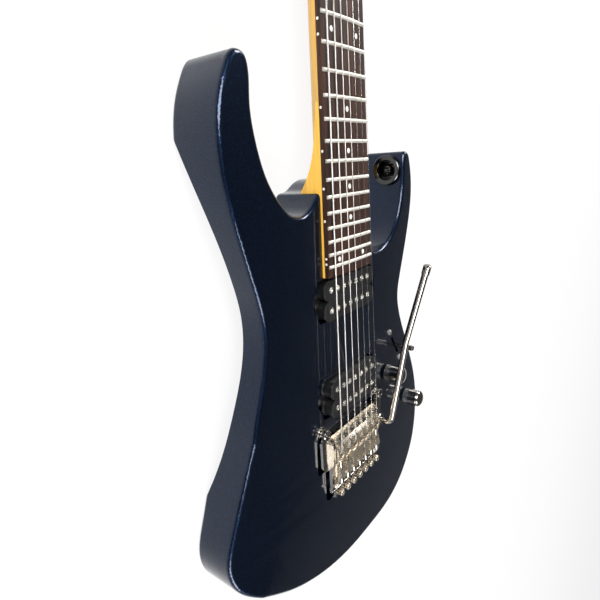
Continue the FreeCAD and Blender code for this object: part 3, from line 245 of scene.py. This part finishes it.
def maple():
    """Amber maple with long grain and short dark flecks, under a thin satin coat."""
    paint = Paint("amber_maple")
    paint.set(Coat_Weight=0.35, Coat_Roughness=0.25)
    grain = paint.noise(paint.stretched(90.0, 4.0, 90.0), 1.6, 5.0, 0.6)
    fleck = paint.noise(paint.stretched(900.0, 60.0, 900.0), 1.0, 2.0)
    tone = paint.ramp(grain, [
        (0.25, (0.64, 0.31, 0.038)), (0.5, (0.82, 0.45, 0.060)), (0.75, (0.90, 0.55, 0.095))])
    dark = paint.ramp(fleck, [(0.30, (0.80, 0.74, 0.66)), (0.45, (1.0, 1.0, 1.0))])
    paint.colour(paint.multiply(tone, dark, 0.6))
    paint.rough(paint.spread(grain, 0.34, 0.46))
    paint.normal(paint.bump(fleck, 0.08, 0.0002))
    return paint.material


def rosewood():
    """Dark brown, nearly black in its streaks, with open pores along the neck."""
    paint = Paint("rosewood")
    paint.set(Specular_IOR_Level=0.3)
    streak = paint.noise(paint.stretched(170.0, 5.0, 170.0), 1.5, 5.0, 0.62)
    pore = paint.noise(paint.stretched(1500.0, 70.0, 1500.0), 1.0, 2.0, 0.5)
    tone = paint.ramp(streak, [
        (0.28, (0.006, 0.003, 0.002)), (0.48, (0.027, 0.011, 0.007)), (0.72, (0.066, 0.028, 0.016))])
    holes = paint.ramp(pore, [(0.34, (0.35, 0.30, 0.28)), (0.44, (1.0, 1.0, 1.0))])
    paint.colour(paint.multiply(tone, holes, 0.85))
    paint.rough(paint.spread(pore, 0.62, 0.42))
    paint.normal(paint.bump(pore, 0.25, 0.0002))
    return paint.material


def metal(name, colour, low, high, brush=0.0, metallic=1.0):
    """Plated or plain metal with faint wear and, if brush is set, fine lines along the guitar."""
    paint = Paint(name)
    paint.set(Metallic=metallic)
    wear = paint.noise(paint.place, 260.0, 4.0, 0.6)
    smudge = paint.noise(paint.place, 45.0, 3.0, 0.5)
    paint.colour(paint.ramp(smudge, [
        (0.3, tuple(0.86 * c for c in colour)), (0.7, tuple(min(1.0, 1.06 * c) for c in colour))]))
    paint.rough(paint.spread(wear, low, high))
    if brush:
        lines = paint.noise(paint.stretched(4000.0, 90.0, 4000.0), 1.0, 2.0)
        paint.normal(paint.bump(lines, brush, 0.0001))
    return paint.material


def wound_steel():
    """Steel with the close turns of a winding round it, with painted shade in the grooves between
    them.
    """
    paint = Paint("wound_steel")
    paint.set(Metallic=1.0, Roughness=0.30)
    turns = paint.node("TexWave", {"Vector": paint.place, "Scale": 620.0, "Distortion": 0.0},
                       bands_direction="Y", wave_profile="SIN").outputs["Fac"]
    # Painted shade: the colour goes dark in the grooves between the turns, where shade falls.
    paint.colour(paint.ramp(turns, [(0.0, (0.20, 0.18, 0.16)), (0.55, (0.72, 0.69, 0.65))]))
    paint.normal(paint.bump(turns, 0.5, 0.0002))
    return paint.material


def black_plastic(name, low, high, grain):
    """Moulded black plastic, from low to high in roughness, with a fine grain."""
    paint = Paint(name)
    haze = paint.noise(paint.place, 70.0, 4.0)
    paint.colour(paint.ramp(haze, [(0.3, (0.004, 0.004, 0.004)), (0.7, (0.012, 0.012, 0.013))]))
    paint.rough(paint.spread(haze, low, high))
    fine = paint.noise(paint.place, 1400.0, 2.0)
    paint.normal(paint.bump(fine, grain, 0.0001))
    return paint.material


def inlay():
    """Off-white inlay with a faint swirl."""
    paint = Paint("white_inlay")
    paint.set(Roughness=0.25, Coat_Weight=0.4, Coat_Roughness=0.1)
    swirl = paint.noise(paint.place, 420.0, 3.0, 0.55)
    paint.colour(paint.ramp(swirl, [
        (0.35, (0.62, 0.60, 0.54)), (0.65, (0.90, 0.89, 0.84))]))
    return paint.material


NAVY = lacquer()
MAPLE = maple()
ROSEWOOD = rosewood()
DARK_CHROME = metal("smoked_chrome", (0.37, 0.345, 0.31), 0.12, 0.24)
WARM_CHROME = metal("worn_chrome", (0.60, 0.53, 0.43), 0.20, 0.34, metallic=0.88)
BLOCK_STEEL = metal("plain_steel", (0.50, 0.49, 0.48), 0.26, 0.42, brush=0.25)
BRIGHT_STEEL = metal("polished_nickel", (0.86, 0.84, 0.78), 0.20, 0.34)
FRET_STEEL = metal("fret_steel", (0.95, 0.91, 0.82), 0.38, 0.50, metallic=0.7)
BLACK_CHROME = metal("black_chrome", (0.07, 0.07, 0.072), 0.12, 0.24)
PLAIN_STEEL = metal("string_steel", (0.80, 0.78, 0.73), 0.16, 0.26)
SPRING_STEEL = metal("spring_steel", (0.62, 0.61, 0.59), 0.22, 0.34)
WOUND_STEEL = wound_steel()
BLACK = black_plastic("black_plastic", 0.28, 0.42, 0.10)
COVER_BLACK = black_plastic("cover_plastic", 0.42, 0.58, 0.35)
INLAY = inlay()


# ---------------------------------------------------------------- meshes

WELD = 2e-6
FLAT_DEGREES = 0.6
NORMAL_WEIGHT = 80


def add(name, mesh, material, body=None, replaces=()):
    """A new piece of one material, riding on a body and standing for nodes where those are given."""
    piece = bpy.data.objects.new(name, mesh)
    bpy.context.scene.collection.objects.link(piece)
    mesh.materials.clear()
    mesh.materials.append(material)
    if body:
        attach(piece, body)
    if replaces:
        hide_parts(*replaces)
    return piece


def welded(node):
    """The node's mesh with its faces joined along their shared edges."""
    bm = bmesh.new()
    bm.from_mesh(frame["nodes"][node].data)
    bmesh.ops.remove_doubles(bm, verts=bm.verts, dist=WELD)
    return bm


def smooth_by_angle(bm, degrees):
    """Smooth faces, with sharp edges where two faces meet at more than this angle."""
    limit = math.radians(degrees)
    for face in bm.faces:
        face.smooth = True
    for edge in bm.edges:
        edge.smooth = len(edge.link_faces) == 2 and edge.calc_face_angle(0.0) < limit


def mesh_from(bm, name):
    """Mesh data with what bm holds, which is freed."""
    mesh = bpy.data.meshes.new(name)
    bm.to_mesh(mesh)
    bm.free()
    return mesh


def weight_normals(piece):
    """Normals that follow the large faces, so that flats beside a bevel look flat."""
    weighted = piece.modifiers.new("normals", "WEIGHTED_NORMAL")
    weighted.keep_sharp = True
    weighted.weight = NORMAL_WEIGHT


def refine(node, material, edge=0.0, angle=32.0):
    """A copy of a node with smooth curved faces, standing for it; edge bevels it, in millimetres."""
    bm = welded(node)
    if edge:
        bmesh.ops.dissolve_limit(
            bm, angle_limit=math.radians(FLAT_DEGREES), verts=bm.verts, edges=bm.edges)
    smooth_by_angle(bm, angle)
    name = node + "_fine"
    body = frame["nodes"][node]["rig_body"]
    piece = add(name, mesh_from(bm, name), material, body, (node,))
    if edge:
        bevel = piece.modifiers.new("edges", "BEVEL")
        bevel.width = edge * MM
        bevel.segments = 2
        bevel.limit_method = "ANGLE"
        bevel.angle_limit = math.radians(angle)
        bevel.harden_normals = False
        bevel.use_clamp_overlap = True
    weight_normals(piece)
    return piece


def tube(points, radius, sides):
    """Vertices and faces of a round tube, closed at its ends, through close-set points."""
    verts = []
    faces = []
    side = Vector((0.0, 0.0, 1.0))
    for k, point in enumerate(points):
        ahead = points[min(k + 1, len(points) - 1)] - points[max(k - 1, 0)]
        ahead.normalize()
        side = (side - ahead * side.dot(ahead)).normalized()
        other = ahead.cross(side)
        for j in range(sides):
            turn = 2 * math.pi * j / sides
            verts.append(point + (side * math.cos(turn) + other * math.sin(turn)) * radius)
    for k in range(len(points) - 1):
        for j in range(sides):
            a = k * sides + j
            b = k * sides + (j + 1) % sides
            faces.append((a, b, b + sides, a + sides))
    faces.append(tuple(reversed(range(sides))))
    last = (len(points) - 1) * sides
    faces.append(tuple(range(last, last + sides)))
    return verts, faces


def tubes_mesh(name, runs):
    """One mesh of several tubes; runs are (points, radius, sides)."""
    verts = []
    faces = []
    for points, radius, sides in runs:
        more, rings = tube(points, radius, sides)
        start = len(verts)
        verts += more
        faces += [tuple(start + k for k in ring) for ring in rings]
    mesh = bpy.data.meshes.new(name)
    mesh.from_pydata([tuple(v) for v in verts], [], faces)
    for polygon in mesh.polygons:
        polygon.use_smooth = len(polygon.vertices) == 4
    mesh.update()
    return mesh


def lathe(name, profile, steps, ridge=None):
    """Turned mesh about Z through (radius, height) in millimetres; ridge(height, turn) scales it."""
    verts = []
    faces = []
    for r, h in profile:
        for k in range(steps):
            turn = 2 * math.pi * k / steps
            wide = r * (ridge(h, turn) if ridge else 1.0)
            verts.append((wide * math.cos(turn) * MM, wide * math.sin(turn) * MM, h * MM))
    for row in range(len(profile) - 1):
        for k in range(steps):
            a = row * steps + k
            b = row * steps + (k + 1) % steps
            faces.append((a, b, b + steps, a + steps))
    faces.append(tuple(reversed(range(steps))))
    last = (len(profile) - 1) * steps
    faces.append(tuple(range(last, last + steps)))
    mesh = bpy.data.meshes.new(name)
    mesh.from_pydata(verts, [], faces)
    return mesh


# ---------------------------------------------------------------- body, neck and fittings

def dress_frame():
    """A finer piece in its own material for every node that the CAD model has in its real shape."""
    refine("body", NAVY, angle=38.0)
    refine("neck", MAPLE, angle=35.0)
    refine("fretboard", ROSEWOOD, 0.25)
    refine("frets", FRET_STEEL, angle=50.0)
    refine("fret_markers", INLAY)
    refine("truss_rod", BLOCK_STEEL)
    refine("truss_rod_cover", BLACK, 0.3)
    for node in ("locking_nut_base", "nut_clamp_blocks", "tremolo_base_plate"):
        refine(node, DARK_CHROME, 0.22)
    refine("saddles", WARM_CHROME, 0.22)
    for node in ("headstock_screws", "string_retainer", "tuner_housings", "bridge_screws",
                 "pivot_studs", "arm_socket", "neck_bolts", "strap_button", "output_jack"):
        refine(node, DARK_CHROME, 0.12)
    for node in ("strap_lock_cup", "strap_lock_stud"):
        refine(node, BLACK_CHROME, 0.12)
    refine("tremolo_arm", DARK_CHROME, angle=40.0)
    for node in ("sustain_block", "spring_claw", "wood_screws", "potentiometers",
                 "selector_switch"):
        refine(node, BLOCK_STEEL, 0.15)
    refine("selector_lever", DARK_CHROME, 0.12)
    for node in ("neck_pickup_bobbins", "bridge_pickup_bobbins"):
        refine(node, BLACK, 0.35)
    refine("pickup_pole_pieces", BRIGHT_STEEL, 0.12)
    refine("pickup_baseplates", BLACK, 0.15)
    refine("control_cover", COVER_BLACK, 0.25)
    refine("spring_cover", COVER_BLACK, 0.25)
    for k in range(1, STRINGS + 1):
        refine("tuner_post_%d" % k, DARK_CHROME, 0.12)
        refine("tuner_button_%d" % k, DARK_CHROME, 0.12)
        refine("fine_tuner_%d" % k, WARM_CHROME, 0.12)


dress_frame()


# ---------------------------------------------------------------- strings, springs and knobs

# In millimetres: how far apart two corners of a string's line are at least, the steps along it,
# and how far from a corner its bend starts.
RING_GAP = 2.2
STRING_STEP = 3.0
STRING_BEND = 0.5

# The sides of a string's tube, and the places of a bend's points as shares of the bend.
STRING_SIDES = 12
BEND_STEPS = (0.25, 0.5, 0.75)


def string_lines():
    """The corners of each string's centre line, from its saddle to its tuner, bass string first."""
    bm = welded("strings")
    left = set(bm.verts)
    lines = []
    for start in bm.verts:
        if start not in left:
            continue
        left.remove(start)
        island = [start]
        for vert in island:
            for edge in vert.link_edges:
                other = edge.other_vert(vert)
                if other in left:
                    left.remove(other)
                    island.append(other)
        island.sort(key=lambda vert: vert.co.y)
        rings = [[island[0].co.copy()]]
        for vert in island[1:]:
            if vert.co.y - rings[-1][-1].y > RING_GAP * MM:
                rings.append([])
            rings[-1].append(vert.co.copy())
        lines.append([sum(ring, Vector()) / len(ring) for ring in rings])
    bm.free()
    lines.sort(key=lambda line: line[0].x)
    return lines


def close_set(corners, step, bend):
    """Points along a broken line at even steps, with its corners rounded over a short length."""
    points = [corners[0]]
    for k in range(1, len(corners)):
        a, b = corners[k - 1], corners[k]
        length = (b - a).length
        ahead = (b - a) / length
        first = a if k == 1 else a + ahead * bend
        last = b if k == len(corners) - 1 else b - ahead * bend
        steps = max(1, round((last - first).length / step))
        points += [first.lerp(last, j / steps) for j in range(0 if k > 1 else 1, steps + 1)]
        if k < len(corners) - 1:
            after = (corners[k + 1] - b).normalized()
            out = b + after * bend
            points += [last.lerp(b, t).lerp(b.lerp(out, t), t) for t in BEND_STEPS]
    return points


def make_strings():
    """The strings in two pieces, wound and plain, along the CAD strings' centre lines with their
    corners rounded.
    """
    lines = string_lines()
    groups = (("wound_strings", WOUND_STEEL, range(0, WOUND)),
              ("plain_strings", PLAIN_STEEL, range(WOUND, STRINGS)))
    for name, material, picked in groups:
        runs = [(close_set(lines[k], STRING_STEP * MM, STRING_BEND * MM), GAUGES[k] / 2 * MM,
                 STRING_SIDES) for k in picked]
        piece = add(name, tubes_mesh(name, runs), material, None, ("strings",))
        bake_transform(piece)


# In millimetres: the five springs' places across the body, their middle line's height, the radius
# of their wire and of their coils, and where along the neck the coils start and how long they are.
SPRING_PLACES = (-24.0, -12.0, 0.0, 12.0, 24.0)
SPRING_HEIGHT = 10.0
SPRING_WIRE = 0.52
COIL_RADIUS = 3.35
COIL_START = 20.6
COIL_LENGTH = 64.8

# Turns of a spring, and points in a turn.
COIL_TURNS = 58
COIL_STEPS = 14

# The hooks' points as (distance up the neck, height), at the block and at the claw.
BLOCK_HOOK = ((7.6, 10.0), (12.0, 10.0), (17.5, 10.0), (19.0, 11.4))
CLAW_HOOK = ((87.0, 11.4), (88.5, 10.0), (93.0, 10.0), (98.2, 10.0))


def spring_line(x):
    """Points of one spring from the block's hook through its coils to the claw's hook."""
    points = [at(x, y, z) for y, z in BLOCK_HOOK]
    steps = COIL_TURNS * COIL_STEPS
    for k in range(steps + 1):
        turn = 2 * math.pi * k / COIL_STEPS
        points.append(at(x + COIL_RADIUS * math.sin(turn), COIL_START + COIL_LENGTH * k / steps,
                         SPRING_HEIGHT + COIL_RADIUS * math.cos(turn)))
    return points + [at(x, y, z) for y, z in CLAW_HOOK]


def make_springs():
    """The five springs as one piece, stretched between the claw and the block."""
    runs = [(spring_line(x), SPRING_WIRE * MM, 8) for x in SPRING_PLACES]
    piece = add("spring_coils", tubes_mesh("spring_coils", runs), SPRING_STEEL, None,
                ("tremolo_springs",))
    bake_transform(piece)


# In millimetres: the post's radius, the thinnest string that a winding is made of, and how far the
# winding's middle lies past the joint's place.
POST_RADIUS = 2.62
THINNEST = 0.34
WINDING_RISE = 0.1

# Turns of a winding, points in a turn, and how far apart two turns lie, in diameters.
WINDING_TURNS = 3
WINDING_STEPS = 24
WINDING_PITCH = 0.98


def make_windings():
    """Turns of string round each tuner's post."""
    places = {joint["name"]: joint for joint in frame["joints"]}
    for n in range(1, STRINGS + 1):
        joint = places["post_turn_%d" % n]
        axis = Vector(joint["axis"]).normalized()
        side = axis.orthogonal().normalized()
        other = axis.cross(side)
        thick = max(THINNEST, GAUGES[n - 1])
        reach = POST_RADIUS + thick / 2
        points = []
        for k in range(WINDING_TURNS * WINDING_STEPS + 1):
            done = k / WINDING_STEPS
            turn = 2 * math.pi * done
            rise = (done - WINDING_TURNS / 2) * thick * WINDING_PITCH + WINDING_RISE
            out = side * math.cos(turn) + other * math.sin(turn)
            points.append(Vector(joint["pos_m"]) + (out * reach + axis * rise) * MM)
        name = "winding_%d" % n
        material = WOUND_STEEL if n <= WOUND else PLAIN_STEEL
        add(name, tubes_mesh(name, [(points, thick / 2 * MM, 10)]), material, "post_%d" % n)


# The knurled band round a knob's foot: its heights in millimetres, its ridges and their slant.
KNURL_FROM = 0.8
KNURL_TO = 5.4
RIDGES = 40
SLANT = 4.4

# A knob's profile in millimetres over its underside, and its height over the body's face.
KNOB_RISE = 1.6
KNOB_RADIUS = 8.6
KNOB_FOOT = [(3.2, 0.0), (8.0, 0.0), (8.45, 0.25), (KNOB_RADIUS, 0.7)]
KNOB_SIDE = [(KNOB_RADIUS, 0.85 + 0.25 * k) for k in range(57)]
KNOB_TOP = [
    (KNOB_RADIUS, 15.0), (8.3, 15.15), (8.3, 15.55), (KNOB_RADIUS, 15.7), (KNOB_RADIUS, 16.0),
    (8.45, 16.4), (8.1, 16.9), (7.4, 17.6), (6.4, 18.3), (5.2, 18.85), (3.8, 19.3),
    (2.2, 19.65), (0.9, 19.78), (0.02, 19.8),
]
SPINDLE = [(2.6, -13.1), (3.0, -12.7), (3.0, 5.0)]


def knurl(height, turn):
    """Diamond knurling, as a share of the radius, on the band round a knob's foot."""
    if height < KNURL_FROM or height > KNURL_TO:
        return 1.0
    ways = [math.sin(RIDGES * turn + way * SLANT * height) for way in (-1, 1)]
    return 0.985 + 0.013 * max(ways)


def make_knob(node, body, x, y):
    """Domed knob with a groove under its top and a knurled foot, and its spindle."""
    turned = lathe(node + "_turned", KNOB_FOOT + KNOB_SIDE + KNOB_TOP, 320, knurl)
    for polygon in turned.polygons:
        polygon.use_smooth = True
    knob = add(node + "_turned", turned, DARK_CHROME, None, (node,))
    spindle = add(node + "_shaft", lathe(node + "_shaft", SPINDLE, 40), DARK_CHROME)
    for piece in (knob, spindle):
        piece.location = at(x, y, FACE + KNOB_RISE)
        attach(piece, body)


make_strings()
make_springs()
make_windings()
make_knob("volume_knob", "volume", 69.0, 32.5)
make_knob("tone_knob", "tone", 111.0, -11.5)


# ---------------------------------------------------------------- stage and light

# In metres: how far the floor reaches each way, and its gap under the guitar.
FLOOR_REACH = 60.0
FLOOR_GAP = 0.0005

# Height of the view above the horizon, as a sine, and the world's light there.
PALE_WALL = (("From Min", 0.08), ("From Max", 0.26), ("To Min", 0.85), ("To Max", 0.10))


def make_floor():
    """A pale floor that glows a little, so that it stays nearly white in every direction."""
    paint = Paint("pale_floor")
    paint.set(Base_Color=(0.10, 0.10, 0.10, 1.0), Roughness=0.9, Specular_IOR_Level=0.0,
              Emission_Color=(1.0, 1.0, 1.0, 1.0), Emission_Strength=0.86)
    mesh = bpy.data.meshes.new("floor")
    sides = ((-1, -1), (1, -1), (1, 1), (-1, 1))
    mesh.from_pydata([(x * FLOOR_REACH, y * FLOOR_REACH, -FLOOR_GAP) for x, y in sides],
                     [], [(0, 1, 2, 3)])
    mesh.materials.append(paint.material)
    floor = bpy.data.objects.new("floor", mesh)
    bpy.context.scene.collection.objects.link(floor)
    floor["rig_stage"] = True


def make_light(name, place, target, size, power):
    """A soft rectangular light of so many watts, aimed at the target; places are in metres."""
    data = bpy.data.lights.new(name, "AREA")
    data.shape = "RECTANGLE"
    data.size, data.size_y = size
    data.energy = power
    light = bpy.data.objects.new(name, data)
    light.location = place
    aim = Vector(target) - Vector(place)
    light.rotation_euler = aim.to_track_quat("-Z", "Y").to_euler()
    bpy.context.scene.collection.objects.link(light)


def make_world():
    """A dim studio with a pale wall all round, low down."""
    world = bpy.data.worlds.new("world")
    world.use_nodes = True
    tree = world.node_tree
    shader = tree.nodes["Background"]
    place = tree.nodes.new("ShaderNodeTexCoord")
    axes = tree.nodes.new("ShaderNodeSeparateXYZ")
    wall = tree.nodes.new("ShaderNodeMapRange")
    wall.interpolation_type = "SMOOTHSTEP"
    for name, value in PALE_WALL:
        wall.inputs[name].default_value = value
    tree.links.new(place.outputs["Generated"], axes.inputs[0])
    tree.links.new(axes.outputs["Z"], wall.inputs["Value"])
    tree.links.new(wall.outputs["Result"], shader.inputs["Strength"])
    shader.inputs["Color"].default_value = (0.95, 0.97, 1.0, 1.0)
    bpy.context.scene.world = world


make_floor()
make_world()
make_light("key", (-1.8, 1.6, 2.6), (0.3, 0.0, 0.0), (1.8, 1.8), 165.0)
make_light("fill", (-1.4, -2.2, 2.0), (0.3, 0.0, 0.0), (2.0, 1.2), 90.0)
make_light("far", (2.2, 2.4, 1.9), (0.1, 0.2, 0.0), (1.4, 1.2), 110.0)
bpy.context.scene.view_settings.view_transform = "Standard"
